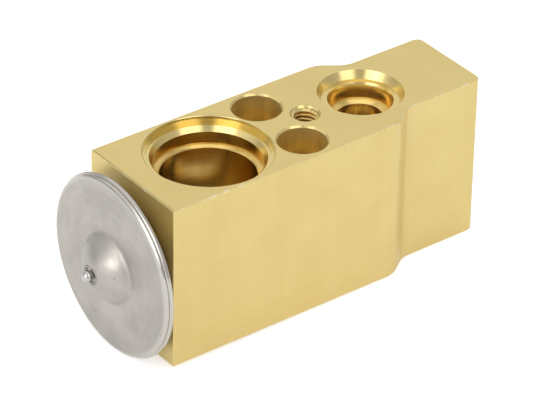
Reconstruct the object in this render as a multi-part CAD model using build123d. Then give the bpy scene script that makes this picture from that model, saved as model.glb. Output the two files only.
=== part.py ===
"""Block-type thermostatic expansion valve for a refrigerant circuit.

The valve axis runs along X at mid height of an extruded aluminium block. The power head is
screwed into the -X end, the superheat adjuster into the +X end. Pipe-side ports open in the
top face (+Z), evaporator-side ports in the bottom face (z = 0). The origin is midway between
the two mounting bolts, on the bottom face. All sizes are in millimetres.
"""

import os
from math import cos, pi, radians, sin, sqrt, tan

from build123d import *

# Block: an extrusion whose profile is seen from above, cut off at the block's height.
BLOCK_LENGTH = 87.7
BLOCK_WIDTH = 30.4
NARROW_WIDTH = 22.2
BLOCK_HEIGHT = 40.0
WAIST_START = 59.2
WAIST_END = 68.6
WAIST_SLOPE = 35.0
WAIST_RADIUS = 5.6
NARROW_CORNER_RADIUS = 1.75
EDGE_BREAK = 0.2

# Stations along the valve axis, measured from the head end face.
BOLT_STATION = 39.5
SUCTION_STATION = 20.3
STUD_STATION = 46.6
LIQUID_IN_STATION = 62.1
LIQUID_OUT_STATION = 50.0
AXIS_HEIGHT = BLOCK_HEIGHT / 2

# Fasteners through or into the block.
BOLT_SPACING = 16.5
BOLT_HOLE_RADIUS = 3.3
BOLT_HEAD_RADIUS = 5.5
BOLT_HEAD_DEPTH = 12.0
STUD_RADIUS = 3.0
STUD_DEPTH = 12.0
STUD_COUNTERSINK = 0.9
DRILL_POINT = 59.0

# Ports: (radius, depth below the face) down the wall of each port.
SUCTION_BORE_RADIUS = 10.75
SUCTION_PORT = ((14.5, 0.0), (14.35, 0.15), (14.35, 1.05), (13.75, 1.05), (13.75, 1.5),
                (12.9, 1.5), (12.05, 2.7), (12.05, 5.5), (11.2, 5.5), (SUCTION_BORE_RADIUS, 6.0))
LIQUID_IN_BORE_RADIUS = 5.2
LIQUID_IN_PORT = ((9.75, 0.0), (8.7, 1.85), (7.4, 1.85), (6.85, 3.0), (6.85, 5.55), (6.0, 5.55),
                  (LIQUID_IN_BORE_RADIUS, 6.15), (LIQUID_IN_BORE_RADIUS, 13.0), (4.3, 13.5))
LIQUID_OUT_BORE_RADIUS = 4.2
LIQUID_OUT_PORT = ((7.4, 0.0), (6.75, 1.1), (6.75, 4.6), (5.0, 4.6), (LIQUID_OUT_BORE_RADIUS, 5.4),
                   (LIQUID_OUT_BORE_RADIUS, 15.0), (3.2, 15.6))

# Bores along the valve axis.
HEAD_THREAD_RADIUS = 11.0
HEAD_POCKET_DEPTH = 7.4
HEAD_SEAL_RECESS_RADIUS = 13.0
HEAD_SEAL_RECESS_DEPTH = 1.6
EQUALISER_RADIUS = 4.5
SEAL_RECESS_RADIUS = 5.2
SEAL_RECESS_END = 35.0
ROD_BORE_END = 38.6
ORIFICE_RADIUS = 1.6
SEAT_STATION = 57.0
SEAT_CHAMFER = 0.3
CHAMBER_RADIUS = 6.25
ADJUSTER_THREAD_START = 77.4
ADJUSTER_THREAD_RADIUS = 7.0
RUNNING_CLEARANCE = 0.05

# Power head: two pressed stainless covers welded round a diaphragm.
HEAD_RADIUS = 21.2
COVER_RADIUS = 20.85
RIM_BACK = -4.1
RIM_FRONT = -5.93
DIAPHRAGM_THICKNESS = 0.2
DIAPHRAGM_BACK = -5.05
COVER_THICKNESS = 0.85
RIM_STEP_RADIUS = 17.7
DOME_BASE = -6.4
DOME_BASE_RADIUS = 8.4
DOME_TOP = -10.95
DOME_TOP_RADIUS = 2.55
CHARGE_BALL_RADIUS = 1.3
CHARGE_HOLE_RADIUS = 0.7
CHARGE_POCKET_FLOOR = -10.6
NECK_INNER_RADIUS = 8.2
CORRUGATIONS = 3
CORRUGATION_HEIGHT = 0.22

# Stem: thrust disc, sensing rod, pin, ball and cradle, moved as one by the diaphragm.
STEM_TRAVEL = 0.9
DISC_RADIUS = 12.4
DISC_THICKNESS = 2.1
HUB_RADIUS = 5.2
HUB_END = 2.4
ROD_RADIUS = 3.2
ROD_START = -2.9
ROD_END = 37.4
PIN_RADIUS = 1.2
PIN_START = 34.0
BALL_RADIUS = 2.4
CRADLE_FLANGE_RADIUS = 4.9
CRADLE_FLANGE_THICKNESS = 1.2
CRADLE_SPIGOT_RADIUS = 2.9

# Springs and adjuster.
SPRING_WIRE_RADIUS = 0.65
SPRING_COIL_RADIUS = 3.75
SPRING_ACTIVE_COILS = 4.5
DAMPER_LEGS = 6
DAMPER_SHEET = 0.25
DAMPER_LEG_WIDTH = 2.2
ADJUSTER_FACE = 85.3
ADJUSTER_HEX = 5.0
ADJUSTER_HEX_DEPTH = 4.2
ADJUSTER_NOSE = 73.6
SPRING_POCKET_DEPTH = 2.2

# Everything a cutter must pass through or start outside of.
OVERSHOOT = 1.0


def along(station):
    """Turn a distance from the head end face into the part's x coordinate."""
    return station - BOLT_STATION


def on_axis(shape):
    """Lift a shape built about the X axis onto the valve axis."""
    return Pos(0, 0, AXIS_HEIGHT) * shape


def turned(outline):
    """Revolve (station, radius) points about the valve axis."""
    points = [(along(station), radius) for station, radius in outline]
    return on_axis(revolve(make_face(Polyline(*points, close=True)), Axis.X))


def ring(start, end, inner, outer):
    """A plain ring on the valve axis between two stations."""
    return turned([(start, inner), (end, inner), (end, outer), (start, outer)])


def rod(start, end, radius, chamfer_start=0.0, chamfer_end=0.0):
    """A round bar on the valve axis, with a chamfer at either end."""
    outline = [(start, 0), (start, radius - chamfer_start), (start + chamfer_start, radius),
               (end - chamfer_end, radius), (end, radius - chamfer_end), (end, 0)]
    distinct = [point for i, point in enumerate(outline) if point != outline[i - 1]]
    return turned(distinct)


def o_ring(station, middle_radius, section_radius):
    """A rubber ring of round section about the valve axis."""
    section = Pos(along(station), middle_radius) * Circle(section_radius)
    return on_axis(revolve(section, Axis.X))


def stepped_hole(wall, bottom_depth):
    """A hole about Z, opening at z = 0, from (radius, depth) points; it ends flat."""
    outline = [(0, OVERSHOOT), (wall[0][0], OVERSHOOT)]
    outline += [(radius, -depth) for radius, depth in wall]
    outline += [(wall[-1][0], -bottom_depth), (0, -bottom_depth)]
    face = Plane.XZ * make_face(Polyline(*outline, close=True))
    return revolve(face, Axis.Z)


def top_hole(station, y, wall, bottom_depth):
    """A stepped hole sunk into the top face."""
    return Pos(along(station), y, BLOCK_HEIGHT) * stepped_hole(wall, bottom_depth)


def bottom_hole(station, y, wall, bottom_depth):
    """A stepped hole sunk into the bottom face."""
    return Pos(along(station), y, 0) * Rot(180, 0, 0) * stepped_hole(wall, bottom_depth)


def block_outline():
    """The extrusion's section: a wide head end, two S-curved waists and a narrow end."""
    tangent = WAIST_RADIUS * tan(radians(WAIST_SLOPE) / 2)
    half_wide, half_narrow = BLOCK_WIDTH / 2, NARROW_WIDTH / 2
    one_side = [(along(0), half_wide), (along(WAIST_START + tangent), half_wide),
                (along(WAIST_END - tangent), half_narrow), (along(BLOCK_LENGTH), half_narrow)]
    other_side = [(x, -y) for x, y in reversed(one_side)]
    outline = make_face(Polyline(*one_side, *other_side, close=True))

    def corners(x):
        return [v for v in outline.vertices() if abs(v.X - x) < 0.01]

    for station in (WAIST_START + tangent, WAIST_END - tangent):
        outline = fillet(corners(along(station)), WAIST_RADIUS)
    return fillet(corners(along(BLOCK_LENGTH)), NARROW_CORNER_RADIUS)


def blind_drill(station, radius, depth, countersink):
    """A drilled hole in the top face with a countersunk mouth and a cone at its end."""
    tip = radius / tan(radians(DRILL_POINT))
    mouth = ((radius + countersink, 0.0), (radius, countersink), (radius, depth), (0.0, depth + tip))
    outline = [(0, OVERSHOOT), (mouth[0][0], OVERSHOOT)] + [(r, -d) for r, d in mouth]
    face = Plane.XZ * make_face(Polyline(*outline, close=True))
    return Pos(along(station), 0, BLOCK_HEIGHT) * revolve(face, Axis.Z)


def axial_bores():
    """The bores on the valve axis, from the head pocket to the adjuster's thread."""
    head = turned([(-OVERSHOOT, 0), (-OVERSHOOT, HEAD_SEAL_RECESS_RADIUS),
                   (HEAD_SEAL_RECESS_DEPTH, HEAD_SEAL_RECESS_RADIUS),
                   (HEAD_SEAL_RECESS_DEPTH, HEAD_THREAD_RADIUS),
                   (HEAD_POCKET_DEPTH, HEAD_THREAD_RADIUS), (HEAD_POCKET_DEPTH, 0)])
    equaliser = rod(HEAD_POCKET_DEPTH - OVERSHOOT, SUCTION_STATION, EQUALISER_RADIUS)
    seal_recess = rod(SUCTION_STATION, SEAL_RECESS_END, SEAL_RECESS_RADIUS)
    rod_bore = rod(SEAL_RECESS_END - OVERSHOOT, ROD_BORE_END, ROD_RADIUS + RUNNING_CLEARANCE)
    pin_bore = rod(ROD_BORE_END - OVERSHOOT, LIQUID_OUT_STATION, PIN_RADIUS + RUNNING_CLEARANCE)
    seat_start = SEAT_STATION - SEAT_CHAMFER
    orifice = turned([(LIQUID_OUT_STATION, 0), (LIQUID_OUT_STATION, ORIFICE_RADIUS),
                      (seat_start, ORIFICE_RADIUS), (SEAT_STATION, ORIFICE_RADIUS + SEAT_CHAMFER),
                      (SEAT_STATION + OVERSHOOT, ORIFICE_RADIUS + SEAT_CHAMFER),
                      (SEAT_STATION + OVERSHOOT, 0)])
    mouth_chamfer = 0.8
    chamber = turned([(SEAT_STATION, 0), (SEAT_STATION, CHAMBER_RADIUS),
                      (ADJUSTER_THREAD_START, CHAMBER_RADIUS),
                      (ADJUSTER_THREAD_START, ADJUSTER_THREAD_RADIUS),
                      (BLOCK_LENGTH - mouth_chamfer, ADJUSTER_THREAD_RADIUS),
                      (BLOCK_LENGTH, ADJUSTER_THREAD_RADIUS + mouth_chamfer),
                      (BLOCK_LENGTH + OVERSHOOT, ADJUSTER_THREAD_RADIUS + mouth_chamfer),
                      (BLOCK_LENGTH + OVERSHOOT, 0)])
    return [head, equaliser, seal_recess, rod_bore, pin_bore, orifice, chamber]


def valve_block():
    """The machined extrusion with every port, fastener hole and bore."""
    body = extrude(block_outline(), BLOCK_HEIGHT)
    body = chamfer(body.edges().group_by(Axis.Z)[0] + body.edges().group_by(Axis.Z)[-1], EDGE_BREAK)
    bolt_break = 0.4
    head_seat = ((BOLT_HEAD_RADIUS + bolt_break, 0.0), (BOLT_HEAD_RADIUS, bolt_break),
                 (BOLT_HEAD_RADIUS, BOLT_HEAD_DEPTH), (BOLT_HOLE_RADIUS, BOLT_HEAD_DEPTH))
    cutters = [
        top_hole(SUCTION_STATION, 0, SUCTION_PORT, AXIS_HEIGHT),
        bottom_hole(SUCTION_STATION, 0, SUCTION_PORT, AXIS_HEIGHT),
        top_hole(LIQUID_IN_STATION, 0, LIQUID_IN_PORT, AXIS_HEIGHT),
        bottom_hole(LIQUID_OUT_STATION, 0, LIQUID_OUT_PORT, AXIS_HEIGHT + ORIFICE_RADIUS + 0.4),
        blind_drill(STUD_STATION, STUD_RADIUS, STUD_DEPTH, STUD_COUNTERSINK),
    ]
    for y in (-BOLT_SPACING / 2, BOLT_SPACING / 2):
        cutters.append(top_hole(BOLT_STATION, y, head_seat, BLOCK_HEIGHT + OVERSHOOT))
    return body - cutters - axial_bores()


def bowed(start, end, rise):
    """Arc between two (station, radius) points, its middle standing off the chord by rise."""
    chord = sqrt((end[0] - start[0])**2 + (end[1] - start[1])**2)
    across = ((start[1] - end[1]) / chord, (end[0] - start[0]) / chord)
    middle = [(start[i] + end[i]) / 2 + rise * across[i] for i in (0, 1)]
    return ThreePointArc(*[(along(station), radius) for station, radius in (start, middle, end)])


def head_cap():
    """Outer cover of the power head: rounded rim, slightly coned face and a charge dome."""
    seat = DIAPHRAGM_BACK - DIAPHRAGM_THICKNESS
    inner_face = DOME_BASE + COVER_THICKNESS
    pocket_back = CHARGE_POCKET_FLOOR + COVER_THICKNESS
    face = [(RIM_FRONT, COVER_RADIUS - 0.7), (RIM_FRONT, RIM_STEP_RADIUS + 0.15),
            (RIM_FRONT - 0.12, RIM_STEP_RADIUS - 0.15), (DOME_BASE, DOME_BASE_RADIUS + 0.55)]
    foot = (DOME_BASE - 0.5, DOME_BASE_RADIUS - 0.35)
    dome_top = (DOME_TOP, DOME_TOP_RADIUS)
    pocket = [dome_top, (DOME_TOP, DOME_TOP_RADIUS - 0.25), (DOME_TOP + 0.2, DOME_TOP_RADIUS - 0.35),
              (DOME_TOP - 0.05, DOME_TOP_RADIUS - 0.45), (DOME_TOP - 0.05, DOME_TOP_RADIUS - 0.65),
              (CHARGE_POCKET_FLOOR, 1.75), (CHARGE_POCKET_FLOOR, CHARGE_HOLE_RADIUS),
              (pocket_back, CHARGE_HOLE_RADIUS), (pocket_back, 2.1)]
    hollow_foot = (inner_face, DOME_BASE_RADIUS - 0.4)
    back = [hollow_foot, (inner_face, RIM_STEP_RADIUS - 0.9), (seat, RIM_STEP_RADIUS + 0.1),
            (seat, COVER_RADIUS), (seat - 0.12, COVER_RADIUS)]
    with BuildSketch() as section:
        with BuildLine():
            for run in (face, pocket, back):
                Polyline(*[(along(station), radius) for station, radius in run])
            bowed(back[-1], face[0], -0.15)
            bowed(face[-1], foot, 0.12)
            bowed(foot, dome_top, -0.5)
            bowed(pocket[-1], hollow_foot, 0.55)
        make_face()
    return on_axis(revolve(section.sketch, Axis.X))


def head_base():
    """Inner cover of the power head: rim, dished web and the neck that screws into the block."""
    floor = -1.3
    neck_end = HEAD_POCKET_DEPTH - 0.6
    return turned([(DIAPHRAGM_BACK, COVER_RADIUS), (DIAPHRAGM_BACK + 0.3, HEAD_RADIUS),
                   (RIM_BACK - 0.25, HEAD_RADIUS), (RIM_BACK, HEAD_RADIUS - 0.25),
                   (RIM_BACK, 18.4), (-0.35, 14.9), (0.0, 14.2),
                   (0.0, HEAD_THREAD_RADIUS - RUNNING_CLEARANCE),
                   (neck_end - 0.8, HEAD_THREAD_RADIUS - RUNNING_CLEARANCE),
                   (neck_end, HEAD_THREAD_RADIUS - 0.8), (neck_end, NECK_INNER_RADIUS + 0.5),
                   (neck_end - 0.5, NECK_INNER_RADIUS), (floor, NECK_INNER_RADIUS),
                   (floor, 13.9), (DIAPHRAGM_BACK, RIM_STEP_RADIUS + 0.1)])


def diaphragm():
    """Thin corrugated disc clamped between the two covers and resting on the thrust disc."""
    flat_radius, clamp_radius = 10.0, 17.4
    front = DIAPHRAGM_BACK - DIAPHRAGM_THICKNESS
    pitch = (clamp_radius - flat_radius) / CORRUGATIONS
    far = [(front, 0.0), (front, flat_radius)]
    for wave in range(CORRUGATIONS):
        crest = flat_radius + (wave + 0.5) * pitch
        far += [(front - CORRUGATION_HEIGHT, crest - pitch / 8),
                (front - CORRUGATION_HEIGHT, crest + pitch / 8), (front, crest + pitch / 2)]
    far.append((front, COVER_RADIUS - 0.1))
    near = [(station + DIAPHRAGM_THICKNESS, radius) for station, radius in reversed(far)]
    return turned(far + near)


def charge_ball():
    """Steel ball welded over the charge hole."""
    stand_off = sqrt(CHARGE_BALL_RADIUS**2 - CHARGE_HOLE_RADIUS**2) + 0.01
    return on_axis(Pos(along(CHARGE_POCKET_FLOOR - stand_off)) * Sphere(CHARGE_BALL_RADIUS))


def head_seal_ring():
    """Seal between the power head and the block's end face."""
    section = HEAD_SEAL_RECESS_DEPTH / 2 - 0.02
    return o_ring(HEAD_SEAL_RECESS_DEPTH / 2, HEAD_SEAL_RECESS_RADIUS - section - 0.02, section)


def thrust_disc():
    """Plate that the diaphragm presses on, with a hub holding the sensing rod."""
    face = DIAPHRAGM_BACK
    back = face + DISC_THICKNESS
    bore = ROD_RADIUS + 0.01
    return turned([(face, 0), (face, DISC_RADIUS - 1.4), (face + 0.4, DISC_RADIUS - 0.4),
                   (face + 0.9, DISC_RADIUS), (back, DISC_RADIUS), (back, HUB_RADIUS + 2.2),
                   (back + 0.9, HUB_RADIUS), (HUB_END, HUB_RADIUS), (HUB_END, bore),
                   (ROD_START - 0.01, bore), (ROD_START - 0.01, 0)])


def sensing_rod():
    """Aluminium rod across the suction passage, bored at its end for the pin."""
    bar = rod(ROD_START, ROD_END, ROD_RADIUS, 0.4, 0.4)
    return bar - rod(PIN_START, ROD_END + OVERSHOOT, PIN_RADIUS + 0.01)


def rod_seal_ring():
    """Rubber ring round the sensing rod, which keeps liquid out of the suction passage."""
    section = (SEAL_RECESS_RADIUS - ROD_RADIUS) / 2 - 0.03
    return o_ring(SEAL_RECESS_END - section - 0.02, (SEAL_RECESS_RADIUS + ROD_RADIUS) / 2, section)


def rod_seal_washer():
    """Backing washer over the rod seal."""
    start = SEAL_RECESS_END - 2.55
    return ring(start, start + 0.5, ROD_RADIUS + 0.15, SEAL_RECESS_RADIUS - 0.05)


def rod_seal_retainer():
    """Push-in spring ring whose teeth grip the recess wall."""
    start = SEAL_RECESS_END - 3.1
    sheet = 0.3
    lean = 0.2
    body = turned([(start, ROD_RADIUS + 0.6), (start + sheet, ROD_RADIUS + 0.6),
                   (start + sheet, 4.3), (start + sheet - lean, SEAL_RECESS_RADIUS - 0.03),
                   (start - lean, SEAL_RECESS_RADIUS - 0.03), (start, 4.3)])
    teeth = 8
    slot = Pos(along(start), 0, SEAL_RECESS_RADIUS) * Box(3, 0.9, 1.7)
    slots = [on_axis(Rot(360 / teeth * i, 0, 0) * slot) for i in range(teeth)]
    return body - slots


def ball_centre():
    """Station of the valve ball's centre when it closes the seat."""
    contact = BALL_RADIUS * sin(pi / 4)
    seat_line = SEAT_STATION - SEAT_CHAMFER + (contact - ORIFICE_RADIUS)
    return seat_line + contact + 0.02


def operating_pin():
    """Steel pin from the sensing rod to the valve ball."""
    return rod(PIN_START + 0.01, ball_centre() - BALL_RADIUS - 0.01, PIN_RADIUS, 0.2, 0.2)


def valve_ball():
    """Steel ball that closes the orifice."""
    return on_axis(Pos(along(ball_centre())) * Sphere(BALL_RADIUS))


def cradle_flange_face():
    """Station of the cradle face that the damper spring and the coil spring press on."""
    return ball_centre() + 3.4


def ball_cradle():
    """Cup behind the ball, with a flange and spigot for the springs."""
    centre, hollow = ball_centre(), BALL_RADIUS + 0.01
    cup = centre + 0.7
    lip = sqrt(hollow**2 - 0.7**2)
    face = cradle_flange_face()
    with BuildSketch() as section:
        with BuildLine():
            seat = RadiusArc((along(centre + hollow), 0), (along(cup), lip), -hollow)
            outline = [(cup, 2.7), (cup + 0.9, 3.3), (face - CRADLE_FLANGE_THICKNESS, 3.3),
                       (face - CRADLE_FLANGE_THICKNESS, CRADLE_FLANGE_RADIUS),
                       (face, CRADLE_FLANGE_RADIUS), (face, CRADLE_SPIGOT_RADIUS),
                       (face + 2.4, CRADLE_SPIGOT_RADIUS), (face + 3.0, CRADLE_SPIGOT_RADIUS - 0.6),
                       (face + 3.0, 0)]
            points = [(along(station), radius) for station, radius in outline]
            Polyline(seat @ 1, *points, seat @ 0)
        make_face()
    return on_axis(revolve(section.sketch, Axis.X))


def damper_spring():
    """Spring-steel star whose legs drag on the chamber wall and stop the ball chattering."""
    start = cradle_flange_face() + 0.01
    middle = start + DAMPER_SHEET / 2
    washer = ring(start, start + DAMPER_SHEET, CRADLE_SPIGOT_RADIUS + 0.02, CRADLE_FLANGE_RADIUS)
    touch = CHAMBER_RADIUS - RUNNING_CLEARANCE - DAMPER_SHEET / 2
    leg_line = [(middle, CRADLE_FLANGE_RADIUS - 0.4), (middle, touch - 0.75), (middle - 0.6, touch - 0.25),
                (middle - 3.0, touch), (middle - 3.7, touch - 0.3)]
    bent_sheet = trace(Polyline(*[(along(x), radius) for x, radius in leg_line]), DAMPER_SHEET)
    leg = Pos(0, DAMPER_LEG_WIDTH / 2, 0) * extrude(Plane.XZ * bent_sheet, DAMPER_LEG_WIDTH)
    wall = Pos(along(start)) * Rot(0, 90, 0) * Cylinder(CHAMBER_RADIUS - RUNNING_CLEARANCE, 20)
    leg = leg & wall
    legs = [on_axis(Rot(360 / DAMPER_LEGS * i, 0, 0) * leg) for i in range(DAMPER_LEGS)]
    return washer + legs


def spring_seat():
    """Station of the adjuster's pocket floor that carries the coil spring."""
    return ADJUSTER_NOSE + SPRING_POCKET_DEPTH


def superheat_spring():
    """Coil spring with closed, ground ends between the damper and the adjuster."""
    start = cradle_flange_face() + DAMPER_SHEET + 0.02
    end = spring_seat() - 0.02
    closed_pitch = 2.15 * SPRING_WIRE_RADIUS
    closed_coils = 1.0
    coils = SPRING_ACTIVE_COILS + 2 * closed_coils
    rise = end - start - 0.6 * SPRING_WIRE_RADIUS
    active_pitch = (rise - 2 * closed_coils * closed_pitch) / SPRING_ACTIVE_COILS
    steps_per_coil = 12
    points = []
    travel = start + 0.3 * SPRING_WIRE_RADIUS
    for step in range(int(coils * steps_per_coil) + 1):
        turn = step / steps_per_coil
        near_end = turn < closed_coils or turn >= coils - closed_coils
        angle = 2 * pi * turn
        points.append((along(travel), SPRING_COIL_RADIUS * cos(angle), SPRING_COIL_RADIUS * sin(angle)))
        travel += (closed_pitch if near_end else active_pitch) / steps_per_coil
    path = Spline(*points)
    section = Plane(origin=path @ 0, z_dir=path % 0) * Circle(SPRING_WIRE_RADIUS)
    wire = on_axis(sweep(section, path=path, is_frenet=True))
    length = end - start
    outer = SPRING_COIL_RADIUS + SPRING_WIRE_RADIUS + OVERSHOOT
    ground = on_axis(Pos(along((start + end) / 2)) * Rot(0, 90, 0) * Cylinder(outer, length))
    return wire & ground


def adjusting_screw():
    """Threaded plug that loads the coil spring, turned by a hexagon key."""
    nose_radius = CHAMBER_RADIUS - 0.07
    groove_start, groove_end, groove_radius = 74.6, 76.4, nose_radius - 1.25
    thread = ADJUSTER_THREAD_RADIUS - RUNNING_CLEARANCE
    thread_start = ADJUSTER_THREAD_START + 1.6
    pocket = SPRING_COIL_RADIUS + SPRING_WIRE_RADIUS + 0.3
    body = turned([(ADJUSTER_NOSE, 0), (ADJUSTER_NOSE, nose_radius - 0.4),
                   (ADJUSTER_NOSE + 0.4, nose_radius), (groove_start, nose_radius),
                   (groove_start, groove_radius), (groove_end, groove_radius),
                   (groove_end, nose_radius), (thread_start, nose_radius),
                   (thread_start + 0.6, thread), (ADJUSTER_FACE - 0.5, thread),
                   (ADJUSTER_FACE, thread - 0.5), (ADJUSTER_FACE, 0)])
    spring_pocket = rod(ADJUSTER_NOSE - OVERSHOOT, spring_seat(), pocket)
    hexagon = RegularPolygon(ADJUSTER_HEX / 2, 6, major_radius=False)
    socket = extrude(Plane.YZ * hexagon, ADJUSTER_HEX_DEPTH + OVERSHOOT)
    socket = Pos(along(ADJUSTER_FACE - ADJUSTER_HEX_DEPTH), 0, 0) * socket
    return body - spring_pocket - on_axis(socket)


def adjuster_seal_ring():
    """Rubber ring in the adjuster's groove, sealing against the chamber wall."""
    section = 0.62
    return o_ring(75.5, CHAMBER_RADIUS - RUNNING_CLEARANCE - section, section)


NODES = (valve_block, head_cap, charge_ball, diaphragm, head_base, head_seal_ring, thrust_disc,
         sensing_rod, rod_seal_ring, rod_seal_washer, rod_seal_retainer, operating_pin, valve_ball,
         ball_cradle, damper_spring, superheat_spring, adjusting_screw, adjuster_seal_ring)

os.makedirs("parts", exist_ok=True)
for build in NODES:
    export_step(build(), f"parts/{build.__name__}.step")
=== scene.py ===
"""Finished look of a block-type thermostatic expansion valve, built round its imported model.

The valve axis runs along X. The power head is at the -X end, the superheat adjuster at the +X
end. The pipe-side face looks up, the evaporator-side face looks down. Sizes are written in
millimetres and turned into metres where a mesh is made.
"""

import logging
import math
from dataclasses import dataclass
from enum import Enum
from typing import Callable, Sequence

import bmesh
import bpy
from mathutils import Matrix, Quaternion, Vector


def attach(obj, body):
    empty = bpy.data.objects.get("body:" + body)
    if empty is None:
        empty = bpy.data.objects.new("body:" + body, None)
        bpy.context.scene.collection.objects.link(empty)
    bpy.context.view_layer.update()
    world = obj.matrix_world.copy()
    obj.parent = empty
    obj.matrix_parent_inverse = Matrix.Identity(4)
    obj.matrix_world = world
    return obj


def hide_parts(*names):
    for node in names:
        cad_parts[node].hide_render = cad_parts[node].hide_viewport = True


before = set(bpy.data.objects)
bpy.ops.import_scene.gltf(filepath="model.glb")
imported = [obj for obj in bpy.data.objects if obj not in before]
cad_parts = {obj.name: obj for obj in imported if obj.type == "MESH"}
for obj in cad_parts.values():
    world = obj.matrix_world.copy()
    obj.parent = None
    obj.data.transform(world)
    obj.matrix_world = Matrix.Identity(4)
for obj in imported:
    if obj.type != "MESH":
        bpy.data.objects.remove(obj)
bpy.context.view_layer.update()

MM = 0.001
SLACK = 0.01 * MM
FINE_SLACK = 0.001 * MM
MERGE = 0.002 * MM
ORIGIN = (0.0, 0.0, 0.0)
POLISHED = {"grain_scale": 2400.0, "grain_depth": 0.002}

log = logging.getLogger("expansion_valve")

Point = tuple[float, float, float]
Plane = tuple[int, int, int]
Outline = Sequence[tuple[float, float]]
Colour = tuple[float, float, float]
Piece = bpy.types.Object
Material = bpy.types.Material
Socket = bpy.types.NodeSocket
Node = bpy.types.Node
Inputs = dict[str | int, Socket | float | Sequence[float]]


class Axis(Enum):
    """Direction in which a turned piece's outline grows."""

    ALONG_VALVE = (1.0, 0.0, 0.0)
    UP = (0.0, 0.0, 1.0)
    DOWN = (0.0, 0.0, -1.0)

    def turn(self) -> Quaternion:
        """Rotation that carries +Z onto this direction."""
        return Vector((0.0, 0.0, 1.0)).rotation_difference(Vector(self.value))


class Body(Enum):
    """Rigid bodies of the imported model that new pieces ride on."""

    HOUSING = "housing"


class Slot(Enum):
    """Material slots of the record, passed along with the new pieces."""

    BLOCK = "block_gold"
    HEAD = "head_steel"
    BRIGHT = "bright_steel"


# ---- Bench work: the few operations that every piece is made with


def put_down_everything() -> None:
    """Leave edit mode and deselect all objects."""
    if bpy.context.mode != "OBJECT":
        bpy.ops.object.mode_set(mode="OBJECT")
    bpy.ops.object.select_all(action="DESELECT")


def add(operator: Callable[..., object], name: str, **settings: object) -> Piece:
    """Add an object with one of Blender's operators.

    Args:
        operator: The operator.
        name: The new object's name.
        settings: The operator's settings; it works at the origin unless they say otherwise.

    Returns:
        The object, selected and active.
    """
    put_down_everything()
    settings.setdefault("location", ORIGIN)
    operator(**settings)
    piece = bpy.context.active_object
    piece.name = name
    return piece


def pick_up(piece: Piece) -> None:
    """Make a piece the only selected and active one.

    Args:
        piece: The object to work on.
    """
    put_down_everything()
    piece.select_set(True)
    bpy.context.view_layer.objects.active = piece


def open_mesh() -> None:
    """Start editing the active piece's mesh, with all of it selected."""
    bpy.ops.object.mode_set(mode="EDIT")
    bpy.ops.mesh.select_all(action="SELECT")


def face_outwards() -> None:
    """Select the whole mesh in edit mode and turn its faces outwards."""
    bpy.ops.mesh.select_all(action="SELECT")
    bpy.ops.mesh.normals_make_consistent(inside=False)


def select_in_edit(piece: Piece, kind: str, wanted: Callable[..., bool]) -> None:
    """Select parts of the piece in edit mode by a test.

    Args:
        piece: The object in edit mode.
        kind: "verts" or "edges".
        wanted: Test of one element.
    """
    mesh = bmesh.from_edit_mesh(piece.data)
    for group in (mesh.verts, mesh.edges, mesh.faces):
        for element in group:
            element.select = False
    mesh.select_mode = {"verts": {"VERT"}, "edges": {"EDGE"}}[kind]
    for element in getattr(mesh, kind):
        if wanted(element):
            element.select_set(True)
    bmesh.update_edit_mesh(piece.data)


def place(piece: Piece, foot: Vector, turn: Quaternion) -> None:
    """Move a piece to its place and put that place into its mesh.

    Args:
        piece: The object, modelled about the origin.
        foot: Where its origin goes, in metres.
        turn: How it is turned first.
    """
    piece.rotation_mode = "QUATERNION"
    piece.rotation_quaternion = turn
    piece.location = foot
    place_here(piece)


def place_here(piece: Piece) -> None:
    """Put a piece's present place, turn and scale into its mesh."""
    pick_up(piece)
    bpy.ops.object.transform_apply(location=True, rotation=True, scale=True)


def lathe(
    name: str,
    outline: Outline,
    foot: Point,
    axis: Axis,
    segments: int = 128,
    closed: bool = False,
) -> Piece:
    """Turn a round piece ring by ring.

    Args:
        name: The piece's name.
        outline: (height, radius) points in millimetres; a radius of 0 is a point on the axis.
        foot: Where height 0 lies, in millimetres.
        axis: Direction in which height grows.
        segments: Number of sides of each ring.
        closed: Whether the outline is a loop, as on a ring; otherwise open ends are capped.

    Returns:
        The piece, with its place in its mesh.
    """
    rings = list(outline)
    pole_first, pole_last = rings[0][1] == 0, rings[-1][1] == 0
    if pole_first:
        rings = rings[1:]
    if pole_last:
        rings = rings[:-1]
    height, radius = rings[0]
    circle = bpy.ops.mesh.primitive_circle_add
    piece = add(circle, name, vertices=segments, radius=radius * MM, fill_type="NOTHING")
    open_mesh()
    bpy.ops.transform.translate(value=(0, 0, height * MM))
    if pole_first or not closed:
        cap_ring(piece, outline[0][0] * MM, pole_first)
        select_ring(piece, height * MM, radius * MM)
    for next_height, next_radius in rings[1:]:
        bpy.ops.mesh.extrude_edges_move(
            TRANSFORM_OT_translate={"value": (0, 0, (next_height - height) * MM)}
        )
        scale = next_radius / radius
        bpy.ops.transform.resize(value=(scale, scale, 1), center_override=(0, 0, next_height * MM))
        height, radius = next_height, next_radius
    if pole_last:
        cap_ring(piece, outline[-1][0] * MM, True)
    elif not closed:
        bpy.ops.mesh.edge_face_add()
    bpy.ops.mesh.select_all(action="SELECT")
    bpy.ops.mesh.remove_doubles(threshold=MERGE)
    bpy.ops.mesh.normals_make_consistent(inside=False)
    bpy.ops.object.mode_set(mode="OBJECT")
    place(piece, Vector(foot) * MM, axis.turn())
    return piece


def cap_ring(piece: Piece, height: float, pole: bool) -> None:
    """Close the selected ring, with a point on the axis or a flat face.

    Args:
        piece: The object in edit mode.
        height: Where the point lies, in metres.
        pole: Whether the ring closes to a point.
    """
    if not pole:
        bpy.ops.mesh.edge_face_add()
        return
    levels = [v.co.z for v in bmesh.from_edit_mesh(piece.data).verts if v.select]
    lift = height - sum(levels) / len(levels)
    bpy.ops.mesh.extrude_edges_move(TRANSFORM_OT_translate={"value": (0, 0, lift)})
    bpy.ops.mesh.merge(type="CENTER")


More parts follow.
